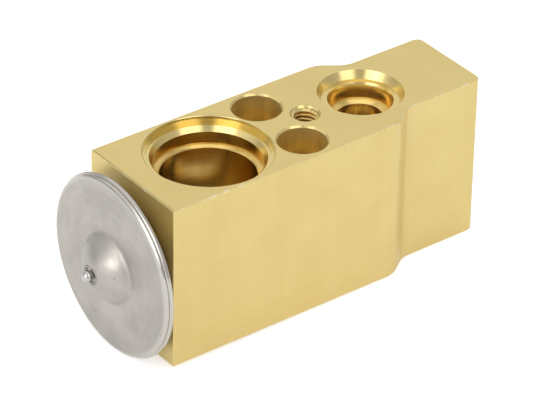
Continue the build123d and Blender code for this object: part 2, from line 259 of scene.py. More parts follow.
def select_ring(piece: Piece, height: float, radius: float) -> None:
    """Select the edges of one ring of a turned piece.

    Args:
        piece: The object in edit mode.
        height: The ring's height in metres.
        radius: The ring's radius in metres.
    """

    def on_ring(edge: bmesh.types.BMEdge) -> bool:
        """Tell whether both ends of an edge lie on the ring."""
        return all(
            abs(v.co.z - height) < FINE_SLACK
            and abs(math.hypot(v.co.x, v.co.y) - radius) < FINE_SLACK
            for v in edge.verts
        )

    select_in_edit(piece, "edges", on_ring)


def finish_with(piece: Piece, kind: str, **settings: object) -> None:
    """Add a modifier, set it and apply it.

    Args:
        piece: The object that gets it.
        kind: Blender's modifier type.
        settings: Its values.
    """
    pick_up(piece)
    modifier = piece.modifiers.new(kind.title(), kind)
    for key, value in settings.items():
        setattr(modifier, key, value)
    bpy.ops.object.modifier_apply(modifier=modifier.name)


def cut(piece: Piece, cutter: Piece) -> None:
    """Take one solid away from another.

    Args:
        piece: The object that is machined.
        cutter: The solid that is taken away and then deleted.
    """
    finish_with(
        piece,
        "BOOLEAN",
        operation="DIFFERENCE",
        solver="EXACT",
        material_mode="TRANSFER",
        object=cutter,
    )
    bpy.data.objects.remove(cutter)


def smooth(piece: Piece, angle: float = 30.0) -> None:
    """Shade a piece smooth, apart from edges sharper than the angle.

    Args:
        piece: The object.
        angle: The limit in degrees.
    """
    pick_up(piece)
    bpy.ops.object.shade_smooth_by_angle(angle=math.radians(angle))
    finish_with(piece, "WEIGHTED_NORMAL", keep_sharp=True, weight=50)


def dress(piece: Piece, *materials: Material) -> None:
    """Give a piece its materials, in slot order.

    Args:
        piece: The object.
        materials: One material for each slot.
    """
    piece.data.materials.clear()
    for material in materials:
        piece.data.materials.append(material)


def hand_over(piece: Piece, body: Body, slot: Slot, *replaced: str) -> None:
    """Fasten a finished piece to its body and hide the imported parts that it stands for.

    Args:
        piece: The object.
        body: The body that it rides on.
        slot: The record's slot for the piece; not used.
        replaced: Nodes that it stands for.
    """
    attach(piece, body.value)
    if replaced:
        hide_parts(*replaced)
    log.info("%s rides on %s", piece.name, body.value)


def bow(
    start: tuple[float, float], end: tuple[float, float], rise: float, steps: int = 10
) -> list[tuple[float, float]]:
    """Points of a circular arc between two points of an outline, without the first.

    Args:
        start: (height, radius) where the arc begins.
        end: (height, radius) where it ends.
        rise: How far its middle stands off the chord, to the left of the way from start to end.
        steps: Number of pieces it is made of.

    Returns:
        The points, from just after start up to end.
    """
    begin, finish = Vector(start), Vector(end)
    chord = finish - begin
    half = chord.length / 2
    radius = (half * half + rise * rise) / (2 * abs(rise))
    left = Vector((-chord.y, chord.x)).normalized() * math.copysign(1.0, rise)
    centre = (begin + finish) / 2 - left * (radius - abs(rise))
    sweep = 2 * math.asin(min(1.0, half / radius)) * -math.copysign(1.0, rise)
    spoke = begin - centre
    points = []
    for step in range(1, steps + 1):
        angle = sweep * step / steps
        cosine, sine = math.cos(angle), math.sin(angle)
        turned = (spoke.x * cosine - spoke.y * sine, spoke.x * sine + spoke.y * cosine)
        points.append(tuple(centre + Vector(turned)))
    return points


# ---- Finishes


class Recipe:
    """Node tree of one material, built node by node."""

    def __init__(self, name: str) -> None:
        """Start an empty material with a Principled surface.

        Args:
            name: The material's name.
        """
        self.material = bpy.data.materials.new(name)
        self.material.use_nodes = True
        self.tree = self.material.node_tree
        self.surface = self.tree.nodes["Principled BSDF"]
        self.coordinates = self.add("ShaderNodeTexCoord").outputs["Object"]

    def add(self, kind: str, inputs: Inputs | None = None, **settings: object) -> Node:
        """Add a node.

        Args:
            kind: Blender's node type.
            inputs: What its inputs are fed.
            settings: Properties of the node.

        Returns:
            The node.
        """
        node = self.tree.nodes.new(kind)
        for key, value in settings.items():
            setattr(node, key, value)
        self.feed(node, inputs or {})
        return node

    def feed(self, node: Node, inputs: Inputs) -> None:
        """Link or set inputs of a node.

        Args:
            node: The node.
            inputs: A socket to link or a value to set, by the input's name or number.
        """
        for key, value in inputs.items():
            if isinstance(value, Socket):
                self.join(value, node.inputs[key])
            else:
                node.inputs[key].default_value = value

    def join(self, source: Socket, target: Socket) -> None:
        """Link two sockets."""
        self.tree.links.new(source, target)

    def maths(self, operation: str, *terms: Socket | float) -> Socket:
        """Add a Math node for sockets or numbers and return its result."""
        node = self.add("ShaderNodeMath", dict(enumerate(terms)), operation=operation)
        return node.outputs[0]

    def mapped(self, scale: Point) -> Socket:
        """Stretch the object coordinates by a factor along each axis, per metre."""
        inputs = {"Scale": scale, "Vector": self.coordinates}
        return self.add("ShaderNodeMapping", inputs).outputs["Vector"]

    def noise(
        self,
        scale: float,
        detail: float = 2.0,
        vector: Socket | None = None,
        distortion: float = 0.0,
    ) -> Socket:
        """Add a noise texture.

        Args:
            scale: Its frequency.
            detail: Number of octaves.
            vector: Where it is read; the object coordinates if None.
            distortion: How far it is stirred.

        Returns:
            Its grey value, around 0.5.
        """
        inputs = {"Scale": scale, "Detail": detail, "Distortion": distortion}
        inputs["Vector"] = vector or self.coordinates
        return self.add("ShaderNodeTexNoise", inputs).outputs["Fac"]

    def spread(
        self, value: Socket, low: float, high: float, to_low: float = 0.0, to_high: float = 1.0
    ) -> Socket:
        """Map a range of a value onto another, clamped.

        Args:
            value: The value.
            low: Start of its range.
            high: End of its range.
            to_low: Result at the start.
            to_high: Result at the end.

        Returns:
            The mapped value.
        """
        inputs = dict(enumerate((value, low, high, to_low, to_high)))
        return self.add("ShaderNodeMapRange", inputs, clamp=True).outputs[0]

    def tint(self, share: Socket, first: Socket | Colour, second: Socket | Colour) -> Socket:
        """Mix two colours.

        Args:
            share: 0 for the first, 1 for the second.
            first: A colour, or a socket that gives one.
            second: The same.

        Returns:
            The mixed colour.
        """
        inputs = {"Factor": share}
        for name, colour in (("A", first), ("B", second)):
            inputs[name] = (*colour, 1.0) if isinstance(colour, tuple) else colour
        return self.add("ShaderNodeMix", inputs, data_type="RGBA").outputs["Result"]

    def clouded(self, value: Socket, dark: Colour, light: Colour) -> Socket:
        """Spread a dark and a light colour over the usual range of a noise."""
        return self.tint(self.spread(value, 0.35, 0.65), dark, light)

    def paint(self, colour: Socket) -> None:
        """Give the surface a colour."""
        self.join(colour, self.surface.inputs["Base Color"])

    def roughen(self, value: Socket, least: float, most: float) -> None:
        """Vary the surface's roughness over the usual range of a noise."""
        self.join(self.spread(value, 0.3, 0.7, least, most), self.surface.inputs["Roughness"])

    def metal(self, share: float) -> None:
        """Set how metallic the surface is."""
        self.surface.inputs["Metallic"].default_value = share

    def bump(self, height: Socket, depth: float) -> None:
        """Drive the surface's normal by a height.

        Args:
            height: The height, 0 to 1.
            depth: Real depth of the pattern in millimetres.
        """
        node = self.add("ShaderNodeBump", {"Distance": depth * MM, "Height": height})
        self.join(node.outputs["Normal"], self.surface.inputs["Normal"])

    def combined(self, *parts: Socket) -> Socket:
        """Make a vector of its coordinates."""
        return self.add("ShaderNodeCombineXYZ", dict(enumerate(parts))).outputs["Vector"]

    def vector_maths(self, operation: str, *terms: Socket | Point) -> Node:
        """Add a Vector Math node for sockets or vectors."""
        return self.add("ShaderNodeVectorMath", dict(enumerate(terms)), operation=operation)

    def distance_from(self, centre: Point, across: Plane) -> Socket:
        """Distance of a point from a line, in millimetres.

        Args:
            centre: A point of the line, in millimetres.
            across: 1 for each axis across the line and 0 for the axis along it.

        Returns:
            The distance.
        """
        middle, scale = tuple(part * MM for part in centre), tuple(part / MM for part in across)
        shift = self.vector_maths("SUBTRACT", self.coordinates, middle)
        flat = self.vector_maths("MULTIPLY", shift.outputs["Vector"], scale)
        return self.vector_maths("LENGTH", flat.outputs["Vector"]).outputs["Value"]


@dataclass(frozen=True)
class WallLook:
    """How a tool left a hole's walls, and from what depth their colour is painted with the light
    bounced round the hole: darker and richer in most holes, brighter in the drilled ones, crossed
    by painted reflection streaks.
    """

    roughness: float = 0.19
    groove: float = 0.01
    metallic: float = 1.0
    # Colour painted deep in the hole for the bounced light there, the depth where it begins, and
    # how much darker its painted reflection streaks are.
    painted_deep_light: Colour = (0.79, 0.55, 0.18)
    painted_deep_from: float = 2.8
    painted_streak_dimming: float = 0.88


@dataclass(frozen=True)
class GoldFinish:
    """Pale gold conversion coating on aluminium. Scales are per metre, sizes in millimetres."""

    dark: Colour = (0.77, 0.605, 0.248)
    light: Colour = (0.81, 0.65, 0.28)
    # Paler colour of patches on the broken edges: partly wear, partly a painted highlight.
    rubbed_painted_highlight: Colour = (0.90, 0.79, 0.49)
    metallic: float = 0.9
    roughness: float = 0.42
    worn_roughness: float = 0.26
    cloud_scale: float = 90.0
    fleck_scale: float = 2600.0
    fleck_share: float = 0.3
    extruded_grain: float = 5200.0
    milled_grain: float = 4200.0
    extruded_depth: float = 0.012
    milled_depth: float = 0.014
    rubbed_depth: float = 0.01
    die_lines: Point = (900.0, 900.0, 18.0)
    mill_centre: Point = (140.0, 0.0, 0.0)
    mill_feed: float = 0.35
    mill_ridge: float = 0.08
    rubbed_highlight_patches: Point = (420.0, 420.0, 60.0)
    # Scale of the painted reflection streaks on hole walls.
    painted_streak_scale: float = 430.0
    fine_rings: float = 9.0
    broad_rings: float = 1.6
    # Depth over which a hole's wall turns to its painted colour of bounced light.
    painted_deep_over: float = 1.5

    def coated(self, name: str) -> tuple[Recipe, Socket]:
        """Begin a gold material.

        Args:
            name: The material's name.

        Returns:
            The recipe, and the coating's uneven colour.
        """
        recipe = Recipe(name)
        recipe.metal(self.metallic)
        cloud = recipe.maths("MULTIPLY", recipe.noise(self.cloud_scale, 3.0), 1 - self.fleck_share)
        fleck = recipe.noise(self.fleck_scale)
        mottle = recipe.maths("MULTIPLY_ADD", fleck, self.fleck_share, cloud)
        return recipe, recipe.clouded(mottle, self.dark, self.light)

    def extruded(self) -> Material:
        """Side faces, with faint die lines along the extrusion.

        Returns:
            The material.
        """
        recipe, gold = self.coated("gold_extruded")
        recipe.paint(gold)
        lines = recipe.noise(1.0, 4.0, recipe.mapped(self.die_lines))
        recipe.roughen(lines, self.roughness - 0.08, self.roughness + 0.01)
        both = recipe.maths("ADD", recipe.noise(self.extruded_grain), lines)
        recipe.bump(recipe.maths("MULTIPLY", both, 0.5), self.extruded_depth)
        return recipe.material

    def milled(self) -> Material:
        """Cut faces round the ports, with the faint arcs of a face mill.

        Returns:
            The material.
        """
        recipe, gold = self.coated("gold_milled")
        recipe.paint(gold)
        arcs = recipe.distance_from(self.mill_centre, (1, 1, 0))
        feed = recipe.maths("SINE", recipe.maths("MULTIPLY", arcs, 2 * math.pi / self.mill_feed))
        grain = recipe.noise(self.milled_grain, 3.0)
        recipe.roughen(grain, self.roughness - 0.03, self.roughness + 0.06)
        ridges = recipe.maths("MULTIPLY_ADD", feed, self.mill_ridge, grain)
        recipe.bump(ridges, self.milled_depth)
        return recipe.material

    def burnished(self) -> Material:
        """Broken edges, painted paler in patches: partly wear, partly a painted highlight along
        the edges; the patches are also smoother.

        Returns:
            The material.
        """
        recipe = Recipe("gold_edges")
        recipe.metal(self.metallic)
        patches = recipe.noise(1.0, 3.0, recipe.mapped(self.rubbed_highlight_patches))
        # Patches of the edges painted paler as a painted highlight, and smoother from wear.
        rubbed_highlight_share = recipe.spread(patches, 0.48, 0.62)
        recipe.paint(recipe.tint(rubbed_highlight_share, self.light, self.rubbed_painted_highlight))
        rough = recipe.spread(rubbed_highlight_share, 0.0, 1.0, self.roughness, self.worn_roughness)
        recipe.join(rough, recipe.surface.inputs["Roughness"])
        recipe.bump(patches, self.rubbed_depth)
        return recipe.material

    def turned(self, name: str, centre: Point, across: Plane, wall: WallLook) -> Material:
        """Bored and turned walls, ringed by the tool. Deeper in, their colour is painted with the
        light bounced round the hole, crossed by painted reflection streaks.

        Args:
            name: What the hole is called.
            centre: A point of the hole's axis, in millimetres.
            across: 1 for each axis across the hole and 0 for the axis along it.
            wall: How the tool left the walls, and the light painted on them.

        Returns:
            The material.
        """
        recipe, pale = self.coated("gold_turned_" + name)
        recipe.metal(wall.metallic)
        radius = recipe.distance_from(centre, across)
        depth = recipe.distance_from(centre, tuple(1 - part for part in across))
        # Painted reflection streaks, and from some depth the painted colour of light bounced round
        # the hole.
        upright = recipe.mapped(tuple(self.painted_streak_scale * part for part in across))
        streaks = recipe.spread(recipe.noise(1.0, vector=upright), 0.36, 0.64)
        painted_deep_light = recipe.tint(streaks, tuple(part * wall.painted_streak_dimming for part in wall.painted_deep_light), wall.painted_deep_light)
        inwards = recipe.spread(depth, wall.painted_deep_from, wall.painted_deep_from + self.painted_deep_over)
        recipe.paint(recipe.tint(inwards, pale, painted_deep_light))
        rings = recipe.combined(radius, depth)
        fine = recipe.noise(self.fine_rings, vector=rings)
        broad = recipe.noise(self.broad_rings, vector=rings)
        recipe.roughen(broad, wall.roughness - 0.03, wall.roughness + 0.04)
        recipe.bump(recipe.maths("MULTIPLY_ADD", broad, 0.4, fine), wall.groove)
        return recipe.material


@dataclass(frozen=True)
class BareMetalFinish:
    """Bare metal, from satin sheet to ground and polished pieces."""

    name: str
    dark: Colour
    light: Colour
    roughness: float = 0.32
    grain_scale: float = 1500.0
    grain_depth: float = 0.006
    cloud_scale: float = 160.0

    def build(self) -> Material:
        """Make the material.

        Returns:
            The material.
        """
        recipe = Recipe(self.name)
        recipe.metal(1.0)
        recipe.paint(recipe.clouded(recipe.noise(self.cloud_scale, 3.0), self.dark, self.light))
        grain = recipe.noise(self.grain_scale, 3.0)
        recipe.roughen(grain, self.roughness - 0.05, self.roughness + 0.07)
        recipe.bump(grain, self.grain_depth)
        return recipe.material


@dataclass(frozen=True)
class PressedSteelFinish(BareMetalFinish):
    """Satin stainless sheet: small pits, wiping marks round the axis, and a rolled rim painted
    paler as a painted highlight, smoother there too.
    """

    cloud_scale: float = 120.0
    pit_colour: Colour = (0.16, 0.14, 0.13)
    pit_scale: float = 330.0
    pit_patches: float = 210.0
    pit_depth: float = 4.0
    dent_scale: float = 260.0
    dent_depth: float = 3.0
    smear_depth: float = 3.5
    smear_stretch: Point = (0.55, 1.6, 200.0)
    # Paler colour painted on the rolled rim from this radius outwards: a painted highlight.
    rolled: Colour = (0.60, 0.57, 0.52)
    rim_highlight_from: float = 19.5
    rim_highlight_over: float = 0.9
    rolled_polish: float = 0.12
    dome_radius: float = 8.6
    dome_over: float = 1.5
    dome_dullness: float = 0.09
    axis_height: float = 20.0

    def round_axis(self, recipe: Recipe, radius: Socket) -> Socket:
        """Lay coordinates out in arcs round the head's axis.

        Args:
            recipe: The material in the making.
            radius: Distance from the axis.

        Returns:
            The coordinates: distance from the axis, then angle, then depth.
        """
        split = recipe.add("ShaderNodeSeparateXYZ", {"Vector": recipe.coordinates})
        rise = recipe.maths("SUBTRACT", split.outputs["Z"], self.axis_height * MM)
        angle = recipe.maths("ARCTAN2", rise, split.outputs["Y"])
        parts = zip((radius, angle, split.outputs["X"]), self.smear_stretch)
        return recipe.combined(*(recipe.maths("MULTIPLY", *part) for part in parts))

    def build(self) -> Material:
        """Make the material.

        Returns:
            The material.
        """
        recipe = Recipe(self.name)
        recipe.metal(1.0)
        radius = recipe.distance_from((0.0, 0.0, self.axis_height), (0, 1, 1))
        # Mask of the rolled rim, where the painted highlight colour goes and the sheet is
        # smoother.
        rim = recipe.spread(radius, self.rim_highlight_from, self.rim_highlight_from + self.rim_highlight_over)
        sheet = recipe.clouded(recipe.noise(self.cloud_scale, 4.0), self.dark, self.light)
        sheet = recipe.tint(rim, sheet, self.rolled)
        pitting = {"Scale": self.pit_scale, "Vector": recipe.coordinates}
        cells = recipe.add("ShaderNodeTexVoronoi", pitting, feature="F1")
        pits = recipe.spread(cells.outputs["Distance"], 0.05, 0.10, 1.0, 0.0)
        here = recipe.spread(recipe.noise(self.pit_patches, 1.0), 0.56, 0.60)
        pits = recipe.maths("MULTIPLY", pits, here)
        recipe.paint(recipe.tint(pits, sheet, self.pit_colour))
        smear = recipe.noise(1.0, 4.0, self.round_axis(recipe, radius), 0.6)
        rough = recipe.spread(smear, 0.32, 0.68, self.roughness - 0.09, self.roughness + 0.11)
        dome_foot = self.dome_radius + self.dome_over
        dome = recipe.spread(radius, self.dome_radius, dome_foot, self.dome_dullness, 0.0)
        rough = recipe.maths("ADD", rough, dome)
        rough = recipe.maths("MULTIPLY_ADD", rim, -self.rolled_polish, rough)
        recipe.join(rough, recipe.surface.inputs["Roughness"])
        height = recipe.noise(self.grain_scale, 3.0)
        dents = recipe.noise(self.dent_scale)
        marks = ((dents, self.dent_depth), (smear, self.smear_depth), (pits, -self.pit_depth))
        for mark, depth in marks:
            height = recipe.maths("MULTIPLY_ADD", mark, depth, height)
        recipe.bump(height, self.grain_depth)
        return recipe.material


@dataclass(frozen=True)
class SoftFinish:
    """Rubber and plastic of the seals."""

    name: str
    colour: Colour
    roughness: float
    cloud_scale: float = 900.0
    grain_depth: float = 0.01

    def build(self) -> Material:
        """Make the material.

        Returns:
            The material.
        """
        recipe = Recipe(self.name)
        cloud = recipe.noise(self.cloud_scale, 3.0)
        paler = tuple(min(1.0, part * 1.25 + 0.004) for part in self.colour)
        recipe.paint(recipe.tint(cloud, self.colour, paler))
        recipe.roughen(cloud, self.roughness - 0.06, self.roughness + 0.06)
        recipe.bump(cloud, self.grain_depth)
        return recipe.material


# ---- Block


@dataclass(frozen=True)
class Hole:
    """A round hole: its walls are (height, radius) points from its mouth inwards."""

    name: str
    foot: Point
    axis: Axis
    walls: Outline
    segments: int = 128
    look: WallLook = WallLook()

    def across(self) -> Plane:
        """1 for each coordinate across the hole's axis, 0 along it."""
        return (0, 1, 1) if self.axis is Axis.ALONG_VALVE else (1, 1, 0)

    def cutter(self, finish: GoldFinish) -> Piece:
        """Turn the solid that the hole is cut with.

        Args:
            finish: The block's finish, for the hole's walls.

        Returns:
            The cutter, in its place.
        """
        piece = lathe("cutter_" + self.name, self.walls, self.foot, self.axis, self.segments)
        dress(piece, finish.turned(self.name, self.foot, self.across(), self.look))
        return piece


@dataclass
class ValveBlock:
    """Machined length of extrusion that carries the ports, the fasteners and the valve's bores."""

    length: float = 87.7
    width: float = 30.4
    narrow_width: float = 22.2
    height: float = 40.0
    waist_start: float = 59.2
    waist_end: float = 68.6
    waist_slope: float = 35.0
    waist_radius: float = 5.6
    waist_facets: int = 14
    narrow_corner_radius: float = 1.75
    narrow_corner_facets: int = 10
    head_corner_radius: float = 0.25
    head_corner_facets: int = 3
    edge_break: float = 0.28
    edge_facets: int = 3
    upright_below: float = 0.1
    level_above: float = 0.99
    bolt_station: float = 39.5
    bolt_spacing: float = 16.5
    suction_station: float = 20.3
    stud_station: float = 46.6
    liquid_in_station: float = 62.1
    liquid_out_station: float = 50.0
    overshoot: float = 1.0
    suction_wall: Outline = (
        (0.0, 14.5), (0.15, 14.35), (1.05, 14.35), (1.05, 13.75), (1.5, 13.75), (1.5, 12.9),
        (2.7, 12.05), (5.38, 12.05), (5.64, 11.2), (6.0, 10.75),
    )  # fmt: skip
    liquid_in_wall: Outline = (
        (-1.0, 9.8), (0.0, 9.75), (1.85, 8.7), (1.85, 7.4), (3.0, 6.85), (5.42, 6.85),
        (5.72, 6.0), (6.15, 5.2), (13.0, 5.2), (13.5, 4.3), (20.0, 4.3), (20.0, 0.0),
    )  # fmt: skip
    liquid_out_wall: Outline = (
        (-1.0, 7.4), (0.0, 7.4), (1.1, 6.75), (4.6, 6.75), (4.6, 5.0), (5.4, 4.2),
        (15.0, 4.2), (15.6, 3.2), (22.0, 3.2), (22.0, 0.0),
    )  # fmt: skip
    stud_wall: Outline = ((-1.0, 3.45), (0.0, 3.45), (0.45, 3.0), (12.0, 3.0), (13.8, 0.0))
    bolt_wall: Outline = (
        (-1.0, 5.9), (0.0, 5.9), (0.4, 5.5), (12.0, 5.5), (12.0, 3.3), (39.7, 3.3),
        (40.0, 3.6), (41.0, 3.6),
    )  # fmt: skip
    axial_wall: Outline = (
        (-1.0, 13.0), (1.6, 13.0), (1.6, 11.0), (7.4, 11.0), (7.4, 4.5), (20.3, 4.5),
        (20.3, 5.2), (35.0, 5.2), (35.0, 3.25), (38.6, 3.25), (38.6, 1.25), (50.0, 1.25),
        (50.0, 1.6), (56.7, 1.6), (57.0, 1.9), (57.0, 6.25), (77.4, 6.25), (77.4, 7.0),
        (86.9, 7.0), (87.7, 7.8), (88.7, 7.8),
    )  # fmt: skip

    def along(self, station: float) -> float:
        """Turn a distance from the head end face into an x coordinate."""
        return station - self.bolt_station

    def on_top(self, station: float, y: float = 0.0) -> Point:
        """Point of the pipe-side face at a distance from the head end face."""
        return (self.along(station), y, self.height)

    def blank(self) -> Piece:
        """Shape the extrusion's outer form.

        Returns:
            The blank, without holes.
        """
        middle = (self.along(self.length / 2) * MM, 0, self.height / 2 * MM)
        piece = add(bpy.ops.mesh.primitive_cube_add, "block", size=1, location=middle)
        piece.scale = (self.length * MM, self.width * MM, self.height * MM)
        place_here(piece)
        bpy.ops.object.mode_set(mode="EDIT")
        tangent = self.waist_radius * math.tan(math.radians(self.waist_slope) / 2)
        bends = (self.waist_start + tangent, self.waist_end - tangent)
        waist = tuple(self.along(bend) * MM for bend in bends)
        for x in waist:
            bpy.ops.mesh.select_all(action="SELECT")
            bpy.ops.mesh.bisect(plane_co=(x, 0, 0), plane_no=(1, 0, 0))
        select_in_edit(piece, "verts", lambda v: v.co.x > waist[1] - SLACK)
        share = self.narrow_width / self.width
        bpy.ops.transform.resize(value=(1, share, 1), center_override=ORIGIN)
        narrow_end, head_end = self.along(self.length) * MM, self.along(0) * MM
        self.round_uprights(piece, waist, tangent, self.waist_facets)
        corner = self.narrow_corner_radius
        self.round_uprights(piece, (narrow_end,), corner, self.narrow_corner_facets)
        self.round_uprights(piece, (head_end,), self.head_corner_radius, self.head_corner_facets)
        levels = (0.0, self.height * MM)

        def is_outer(edge: bmesh.types.BMEdge) -> bool:
            """Tell whether an edge runs round the top or the bottom face."""
            level = any(all(abs(v.co.z - z) < SLACK for v in edge.verts) for z in levels)
            faces = edge.link_faces
            return level and len(faces) == 2 and abs(faces[0].normal.z - faces[1].normal.z) > 0.5

        select_in_edit(piece, "edges", is_outer)
        bpy.ops.mesh.bevel(offset=self.edge_break * MM, segments=self.edge_facets, affect="EDGES")
        face_outwards()
        bpy.ops.object.mode_set(mode="OBJECT")
        return piece

    def round_uprights(
        self, piece: Piece, stations: Sequence[float], offset: float, segments: int
    ) -> None:
        """Round the upright edges that stand at some x coordinates.

        Args:
            piece: The block in edit mode.
            stations: Their x coordinates, in metres.
            offset: Distance from the edge to where the rounding starts, in millimetres.
            segments: Number of facets across it.
        """

        def is_upright(edge: bmesh.types.BMEdge) -> bool:
            """Tell whether an edge stands upright at one of the coordinates."""
            low, high = (v.co for v in edge.verts)
            upright = abs(low.x - high.x) < SLACK and abs(low.y - high.y) < SLACK
            return upright and any(abs(low.x - x) < SLACK for x in stations)

        select_in_edit(piece, "edges", is_upright)
        bpy.ops.mesh.bevel(offset=offset * MM, segments=segments, affect="EDGES")

    def through_hole(self, wall: Outline) -> Outline:
        """Outline of a hole whose two mouths are alike.

        Args:
            wall: (height, radius) points from one face inwards.

        Returns:
            The points from above the top face to below the bottom face.
        """
        far_side = [(self.height - height, radius) for height, radius in reversed(wall)]
        mouth = wall[0][1]
        top, bottom = (-self.overshoot, mouth), (self.height + self.overshoot, mouth)
        return [top, *wall, *far_side, bottom]

    def holes(self) -> list[Hole]:
        """Every hole in the block.

        Returns:
            The holes, largest first.
        """
        bolt_y = self.bolt_spacing / 2
        # Deeper walls painted with the colour of bounced light: a richer painted light in the fine
        # bore, a brighter painted light with darker painted reflection streaks in the drilled
        # holes.
        fine = WallLook(metallic=0.96, painted_deep_light=(0.89, 0.64, 0.22), painted_deep_from=3.1)
        drilled = WallLook(
            groove=0.012, metallic=0.76, painted_deep_light=(1.0, 0.785, 0.27), painted_deep_from=0.6, painted_streak_dimming=0.78
        )
        suction, liquid_in = self.on_top(self.suction_station), self.on_top(self.liquid_in_station)
        liquid_out = (self.along(self.liquid_out_station), 0, 0)
        valve = (self.along(0), 0, self.height / 2)
        near, far = (self.on_top(self.bolt_station, y) for y in (-bolt_y, bolt_y))
        return [
            Hole("suction", suction, Axis.DOWN, self.through_hole(self.suction_wall), 160),
            Hole("liquid_in", liquid_in, Axis.DOWN, self.liquid_in_wall, 128, fine),
            Hole("liquid_out", liquid_out, Axis.UP, self.liquid_out_wall),
            Hole("stud", self.on_top(self.stud_station), Axis.DOWN, self.stud_wall, 96),
            Hole("bolt_near", near, Axis.DOWN, self.bolt_wall, 96, drilled),
            Hole("bolt_far", far, Axis.DOWN, self.bolt_wall, 96, drilled),
            Hole("valve", valve, Axis.ALONG_VALVE, self.axial_wall),
        ]

    def build(self, finish: GoldFinish) -> None:
        """Machine the block, dress it and fasten it to the housing.

        Args:
            finish: The block's finish.
        """
        piece = self.blank()
        dress(piece, finish.extruded(), finish.milled(), finish.burnished())
        for face in piece.data.polygons:
            slope = abs(face.normal.z)
            cut_face = 1 if slope > self.level_above else 2
            face.material_index = 0 if slope < self.upright_below else cut_face
        for hole in self.holes():
            cut(piece, hole.cutter(finish))
        smooth(piece, 28.0)
        hand_over(piece, Body.HOUSING, Slot.BLOCK, "valve_block")


# ---- Power head


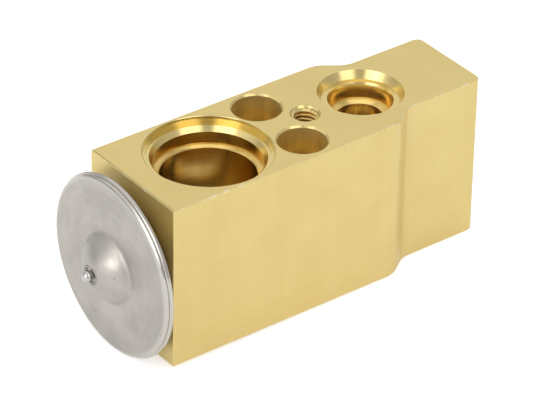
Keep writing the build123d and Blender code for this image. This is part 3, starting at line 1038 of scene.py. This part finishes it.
@dataclass
class PowerHead:
    """Two pressed covers welded round a diaphragm, with a ball over the charge hole."""

    foot: Point = (-39.5, 0.0, 20.0)
    facets: int = 192
    radius: float = 21.2
    cover_radius: float = 20.85
    rim_back: float = -4.1
    rim_front: float = -5.93
    roll: float = 1.3
    roll_bow: float = -0.2
    diaphragm_back: float = -5.05
    diaphragm_front: float = -5.25
    sheet: float = 0.85
    step_radius: float = 17.7
    step_height: float = 0.12
    step_reach: float = 0.15
    step_bow: float = 0.03
    bead_radius: float = 14.0
    bead: Outline = ((0.6, 0.0), (0.3, 0.02), (0.0, 0.05), (-0.3, 0.02), (-0.6, 0.0))
    dome_base: float = -6.4
    dome_base_radius: float = 8.4
    dome_foot: float = 0.55
    foot_bow: float = 0.12
    dome_bow: float = -0.5
    inner_bow: float = 0.55
    dome_top: float = -10.95
    dome_top_radius: float = 2.55
    lip: Outline = ((0.0, -0.25), (0.2, -0.35), (-0.05, -0.45), (-0.05, -0.65))
    pocket_floor: float = -10.6
    pocket_radius: float = 1.75
    ball_radius: float = 1.3
    hole_radius: float = 0.7
    edge_roll: float = 0.25
    shoulder_radius: float = 18.4
    neck: Outline = (
        (-0.35, 14.9), (0.0, 14.2), (0.0, 10.95), (6.0, 10.95), (6.8, 10.15),
        (6.8, 8.7), (6.3, 8.2), (-1.3, 8.2), (-1.3, 13.9),
    )  # fmt: skip

    def spun(self, name: str, outline: Outline, angle: float) -> Piece:
        """Turn a ring about the head's axis and shade it.

        Args:
            name: The piece's name.
            outline: Its closed outline of (station, radius) points.
            angle: Edges sharper than this many degrees stay sharp.

        Returns:
            The piece.
        """
        piece = lathe(name, outline, self.foot, Axis.ALONG_VALVE, self.facets, closed=True)
        smooth(piece, angle)
        return piece

    def face_station(self, radius: float) -> float:
        """Station of the cover's slightly coned face at a radius, between the dome and the step.

        Args:
            radius: The radius in millimetres.

        Returns:
            The station in millimetres.
        """
        outer = self.step_radius - self.step_reach
        inner = self.dome_base_radius + self.dome_foot
        share = (outer - radius) / (outer - inner)
        step = self.rim_front - self.step_height
        return step + share * (self.dome_base - step)

    def cover(self) -> Piece:
        """Press the outer cover.

        Returns:
            The cover.
        """
        seat = self.diaphragm_front
        start = (seat - 0.12, self.cover_radius)
        outline = [(seat, self.step_radius + 0.1), (seat, self.cover_radius - 0.08)]
        outline += [(seat - 0.05, self.cover_radius), start]
        rolled = (self.rim_front, self.cover_radius - self.roll)
        outline += bow(start, rolled, self.roll_bow, steps=14)
        outline += [(self.rim_front, self.step_radius + 0.35)]
        step_foot = (self.rim_front - self.step_height, self.step_radius - self.step_reach)
        outline += bow(outline[-1], step_foot, self.step_bow, steps=4)
        for offset, lift in self.bead:
            radius = self.bead_radius + offset
            outline.append((self.face_station(radius) - lift, radius))
        outline += [(self.dome_base, self.dome_base_radius + self.dome_foot)]
        foot = (self.dome_base - 0.5, self.dome_base_radius - 0.35)
        outline += bow(outline[-1], foot, self.foot_bow, steps=8)
        outline += bow(foot, (self.dome_top, self.dome_top_radius), self.dome_bow, steps=20)
        for lift, offset in self.lip:
            outline.append((self.dome_top + lift, self.dome_top_radius + offset))
        outline += [(self.pocket_floor, self.pocket_radius), (self.pocket_floor, self.hole_radius)]
        pocket_back = self.pocket_floor + self.sheet
        inside = (self.dome_base + self.sheet, self.dome_base_radius - 0.4)
        outline += [(pocket_back, self.hole_radius), (pocket_back, 2.1)]
        outline += bow(outline[-1], inside, self.inner_bow, steps=12)
        outline += [(inside[0], self.step_radius - 0.9), outline[0]]
        return self.spun("head_cover", outline, 25.0)

    def base(self) -> Piece:
        """Press and turn the inner cover with its threaded neck.

        Returns:
            The cover.
        """
        seat, back = self.diaphragm_back, self.rim_back
        outline = [(seat, self.step_radius + 0.1), (seat, self.cover_radius - 0.05)]
        outline += bow(outline[-1], (seat + 0.32, self.radius), 0.06, steps=6)
        outline += [(back - self.edge_roll, self.radius)]
        outline += bow(outline[-1], (back, self.radius - self.edge_roll), 0.07, steps=5)
        outline += [(back, self.shoulder_radius), *self.neck, outline[0]]
        return self.spun("head_base", outline, 25.0)

    def weld_seam(self) -> Piece:
        """Run the bead that joins the covers at their edge.

        Returns:
            The bead.
        """
        front, back = self.diaphragm_front - 0.04, self.diaphragm_back + 0.04
        bottom, crest = self.cover_radius - 0.3, self.cover_radius - 0.1
        third = (back - front) / 3
        outline = [(front, bottom), (front, crest - 0.06), (front + third, crest)]
        outline += [(back - third, crest), (back, crest - 0.06), (back, bottom), (front, bottom)]
        return self.spun("head_weld_seam", outline, 60.0)

    def charge_plug(self) -> Piece:
        """Set the ball in its pocket.

        Returns:
            The ball.
        """
        stand_off = math.sqrt(self.ball_radius**2 - self.hole_radius**2) + 0.01
        x, y, z = self.foot
        piece = add(
            bpy.ops.mesh.primitive_ico_sphere_add,
            "charge_plug",
            subdivisions=5,
            radius=self.ball_radius * MM,
            location=((x + self.pocket_floor - stand_off) * MM, y * MM, z * MM),
        )
        place_here(piece)
        smooth(piece, 60.0)
        return piece

    def build(self, sheet: Material, weld: Material, ball: Material) -> None:
        """Make the head's pieces, dress them and fasten them to the housing.

        Args:
            sheet: Finish of the two covers.
            weld: Finish of the bead.
            ball: Finish of the ball.
        """
        for piece, material, slot, replaced in (
            (self.cover(), sheet, Slot.HEAD, ("head_cap",)),
            (self.base(), sheet, Slot.HEAD, ("head_base",)),
            (self.weld_seam(), weld, Slot.HEAD, ()),
            (self.charge_plug(), ball, Slot.BRIGHT, ("charge_ball",)),
        ):
            dress(piece, material)
            hand_over(piece, Body.HOUSING, slot, *replaced)


# ---- Threads


@dataclass(frozen=True)
class InnerThread:
    """Helical ridge left standing in the wall of a tapped hole, below its countersink."""

    name: str
    foot: Point
    axis: Axis
    radius: float
    depth: float
    pitch: float
    start: float
    turns: int
    lead_in: float
    mouth_radius: float
    steps: int = 64
    root: float = 0.08
    flank_share: float = 0.4
    lead_in_relief: float = 0.15

    def section(self) -> Piece:
        """Lay out the ridge's section on the hole's wall.

        Returns:
            The section: a lozenge whose outer corner is sunk in the wall.
        """
        circle, upright = bpy.ops.mesh.primitive_circle_add, (math.pi / 2, 0, 0)
        piece = add(circle, self.name, vertices=4, fill_type="NOTHING", rotation=upright)
        place_here(piece)
        open_mesh()
        flank = self.pitch * self.flank_share
        size = (self.depth * MM, 1, flank * MM)
        bpy.ops.transform.resize(value=size, center_override=ORIGIN)
        select_in_edit(piece, "verts", lambda v: v.co.x > SLACK)
        bpy.ops.transform.resize(value=(self.root / self.depth, 1, 1), center_override=ORIGIN)
        bpy.ops.mesh.select_all(action="SELECT")
        bpy.ops.transform.translate(value=(self.radius * MM, 0, (self.start + flank) * MM))
        bpy.ops.object.mode_set(mode="OBJECT")
        return piece

    def wind(self, piece: Piece) -> None:
        """Sweep the section along its helix, close both ends and turn it to its lead-in.

        Args:
            piece: The section.
        """
        finish_with(
            piece,
            "SCREW",
            axis="Z",
            angle=2 * math.pi,
            screw_offset=self.pitch * MM,
            iterations=self.turns,
            steps=self.steps,
            render_steps=self.steps,
            use_normal_calculate=True,
        )
        bpy.ops.object.mode_set(mode="EDIT")
        reach = 2.1 * self.pitch * self.flank_share * MM
        for level in (min, max):
            end = level(v.co.z for v in bmesh.from_edit_mesh(piece.data).verts)
            select_in_edit(
                piece,
                "edges",
                lambda e: e.is_boundary and all(abs(v.co.z - end) < reach for v in e.verts),
            )
            bpy.ops.mesh.edge_face_add()
        face_outwards()
        bpy.ops.transform.rotate(
            value=math.radians(self.lead_in), orient_axis="Z", center_override=ORIGIN
        )
        bpy.ops.object.mode_set(mode="OBJECT")

    def build(self, material: Material) -> None:
        """Wind the ridge, trim it to the countersink and fasten it to the housing.

        Args:
            material: Its finish.
        """
        piece = self.section()
        self.wind(piece)
        place(piece, Vector(self.foot) * MM, self.axis.turn())
        dress(piece, material)
        edge = self.mouth_radius - self.radius
        relief = edge + self.lead_in_relief
        mouth = [(-1.0, self.mouth_radius + 1.0), (edge, self.radius)]
        mouth += [(relief, self.radius - 0.6), (relief, 0.0)]
        countersink = lathe("cutter_countersink", mouth, self.foot, self.axis, 96)
        dress(countersink, material)
        cut(piece, countersink)
        smooth(piece)
        hand_over(piece, Body.HOUSING, Slot.BLOCK)


# ---- Studio


@dataclass(frozen=True)
class Softbox:
    """A rectangular soft lamp, placed by its direction from the object."""

    name: str
    azimuth: float
    elevation: float
    width: float
    height: float
    brightness: float
    distance: float = 1.4

    def hang(self, aim: Vector) -> None:
        """Hang the lamp so that it faces the object.

        Args:
            aim: Point that it faces, in metres.
        """
        turn, lift = math.radians(self.azimuth), math.radians(self.elevation)
        level = math.cos(lift)
        way = Vector((math.cos(turn) * level, math.sin(turn) * level, math.sin(lift)))
        spot = aim + way * self.distance
        lamp = add(bpy.ops.object.light_add, self.name, type="AREA", location=spot)
        lamp.data.shape = "RECTANGLE"
        lamp.data.size = self.width
        lamp.data.size_y = self.height
        lamp.data.energy = self.brightness * math.pi * self.width * self.height
        lamp.rotation_euler = (-way).to_track_quat("-Z", "Y").to_euler()


@dataclass
class Studio:
    """Pale floor, soft light and the camera."""

    floor_size: float = 6.0
    floor_tilt: float = 0.75
    rest_x: float = 48.2
    floor_white: float = 0.82
    floor_glow: float = 0.55
    floor_gloss: float = 0.25
    floor_roughness: float = 0.8
    camera_place: Point = (-419.02, -537.16, 460.99)
    camera_aim: Point = (-1.97, 1.53, 20.01)
    camera_roll: float = 1.096
    camera_lens: float = 247.91
    sensor_width: float = 36.0
    clip: tuple[float, float] = (0.01, 50.0)
    world_strength: float = 0.5
    softboxes: tuple[Softbox, ...] = (
        Softbox("lamp_left", 199.0, 31.0, 0.9, 1.3, 1.5),
        Softbox("lamp_low", 186.0, 15.0, 0.9, 0.5, 1.3),
        Softbox("lamp_right", 271.0, 40.0, 0.9, 1.2, 1.22),
        Softbox("lamp_side", 320.0, 42.0, 1.5, 1.2, 0.1),
        Softbox("lamp_head", 145.0, 42.0, 1.5, 1.2, 0.4),
        Softbox("lamp_back", 55.0, 38.0, 2.0, 1.1, 0.39),
        Softbox("lamp_top", 52.0, 86.0, 1.0, 1.0, 0.8),
    )

    def floor(self) -> None:
        """Lay the floor under the block's far lower edge and the power head's rim."""
        piece = add(bpy.ops.mesh.primitive_plane_add, "floor", size=self.floor_size)
        piece.rotation_euler = (0, -math.radians(self.floor_tilt), 0)
        piece.location = (self.rest_x * MM, 0, 0)
        dress(piece, self.floor_paint())

    def floor_paint(self) -> Material:
        """White paint that the camera sees as plain white outside the object's shadow.

        Returns:
            The material.
        """
        recipe = Recipe("floor_paint")
        white = (*[self.floor_white] * 3, 1.0)
        matt = {"Roughness": self.floor_roughness, "Specular IOR Level": 0.0}
        recipe.feed(recipe.surface, {"Base Color": white, **matt})
        path = recipe.add("ShaderNodeLightPath")
        seen, mirrored = path.outputs["Is Camera Ray"], path.outputs["Is Glossy Ray"]
        strength = recipe.maths("MULTIPLY", mirrored, self.floor_gloss)
        strength = recipe.maths("MULTIPLY_ADD", seen, self.floor_glow, strength)
        glow = recipe.add("ShaderNodeEmission", {"Strength": strength}).outputs["Emission"]
        both = recipe.add("ShaderNodeAddShader", {0: recipe.surface.outputs["BSDF"], 1: glow})
        output = recipe.tree.nodes["Material Output"]
        recipe.join(both.outputs["Shader"], output.inputs["Surface"])
        return recipe.material

    def sky(self) -> None:
        """Surround the object with plain white light."""
        world = bpy.data.worlds.new("studio")
        world.use_nodes = True
        tree = world.node_tree
        background = tree.nodes["Background"]
        background.inputs["Color"].default_value = (1.0, 1.0, 1.0, 1.0)
        path = tree.nodes.new("ShaderNodeLightPath")
        choice = tree.nodes.new("ShaderNodeMapRange")
        choice.inputs["To Min"].default_value = self.world_strength
        choice.inputs["To Max"].default_value = 1.0
        tree.links.new(path.outputs["Is Camera Ray"], choice.inputs["Value"])
        tree.links.new(choice.outputs["Result"], background.inputs["Strength"])
        bpy.context.scene.world = world

    def camera(self) -> None:
        """Set up the camera."""
        spot = Vector(self.camera_place) * MM
        camera = add(bpy.ops.object.camera_add, "studio_camera", location=spot)
        aim = Vector(self.camera_aim) * MM - spot
        level = aim.to_track_quat("-Z", "Y")
        roll = Quaternion((0.0, 0.0, 1.0), math.radians(self.camera_roll))
        camera.rotation_mode = "QUATERNION"
        camera.rotation_quaternion = level @ roll
        camera.data.lens = self.camera_lens
        camera.data.sensor_width = self.sensor_width
        camera.data.clip_start, camera.data.clip_end = self.clip
        bpy.context.scene.camera = camera

    def build(self) -> None:
        """Set the whole studio up."""
        self.floor()
        self.sky()
        for softbox in self.softboxes:
            softbox.hang(Vector(self.camera_aim) * MM)
        self.camera()
        bpy.context.scene.view_settings.view_transform = "Standard"


# ---- The valve


def dress_inner_parts() -> None:
    """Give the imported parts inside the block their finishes."""
    metal, soft = BareMetalFinish, SoftFinish
    bright = metal("bright_steel", (0.62, 0.61, 0.59), (0.72, 0.71, 0.69), 0.14, **POLISHED)
    turned = metal("turned_steel", (0.42, 0.41, 0.40), (0.56, 0.55, 0.53), 0.28)
    wire = metal("spring_wire", (0.38, 0.37, 0.36), (0.50, 0.49, 0.47), 0.24)
    drawn = metal("rod_aluminium", (0.60, 0.59, 0.58), (0.72, 0.71, 0.70), 0.34)
    brass = metal("adjuster_brass", (0.62, 0.44, 0.17), (0.72, 0.53, 0.23), 0.28)
    rubber = soft("seal_rubber", (0.012, 0.012, 0.012), 0.55)
    plastic = soft("washer_plastic", (0.62, 0.60, 0.54), 0.45)
    for finish, names in (
        (bright, ("diaphragm", "valve_ball")),
        (turned, ("thrust_disc", "operating_pin", "ball_cradle")),
        (wire, ("damper_spring", "superheat_spring", "rod_seal_retainer")),
        (drawn, ("sensing_rod",)),
        (brass, ("adjusting_screw",)),
        (rubber, ("head_seal_ring", "rod_seal_ring", "adjuster_seal_ring")),
        (plastic, ("rod_seal_washer",)),
    ):
        material = finish.build()
        for name in names:
            dress(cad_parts[name], material)
            log.info("%s is dressed", name)


def build_power_head() -> None:
    """Build the power head with its finishes."""
    sheet = PressedSteelFinish("head_sheet", (0.44, 0.415, 0.38), (0.53, 0.50, 0.46), 0.34, 1800.0)
    weld = BareMetalFinish("weld", (0.27, 0.255, 0.235), (0.38, 0.36, 0.33), 0.42)
    ball = BareMetalFinish("ball_steel", (0.50, 0.49, 0.47), (0.60, 0.59, 0.57), 0.18, **POLISHED)
    PowerHead().build(sheet.build(), weld.build(), ball.build())


def build_stud_thread(block: ValveBlock, gold: GoldFinish) -> None:
    """Cut the thread of the stud hole.

    Args:
        block: The block that it is cut in.
        gold: The block's finish.
    """
    foot = block.on_top(block.stud_station)
    thread = InnerThread(
        "stud_thread",
        foot,
        Axis.DOWN,
        radius=3.0,
        depth=0.54,
        pitch=1.0,
        start=0.1,
        turns=11,
        lead_in=128.0,
        mouth_radius=3.45,
    )
    # Below half a millimetre the thread's walls are painted the darker colour of bounced light:
    # painted shade in the grooves.
    thread.build(gold.turned("stud_thread", foot, (1, 1, 0), WallLook(painted_deep_from=0.5)))


def main() -> None:
    """Build the valve and its studio, piece by piece."""
    logging.basicConfig(level=logging.INFO, format="%(name)s: %(message)s")
    Studio().build()
    gold = GoldFinish()
    block = ValveBlock()
    block.build(gold)
    build_power_head()
    build_stud_thread(block, gold)
    dress_inner_parts()


if __name__ == "__main__":
    main()
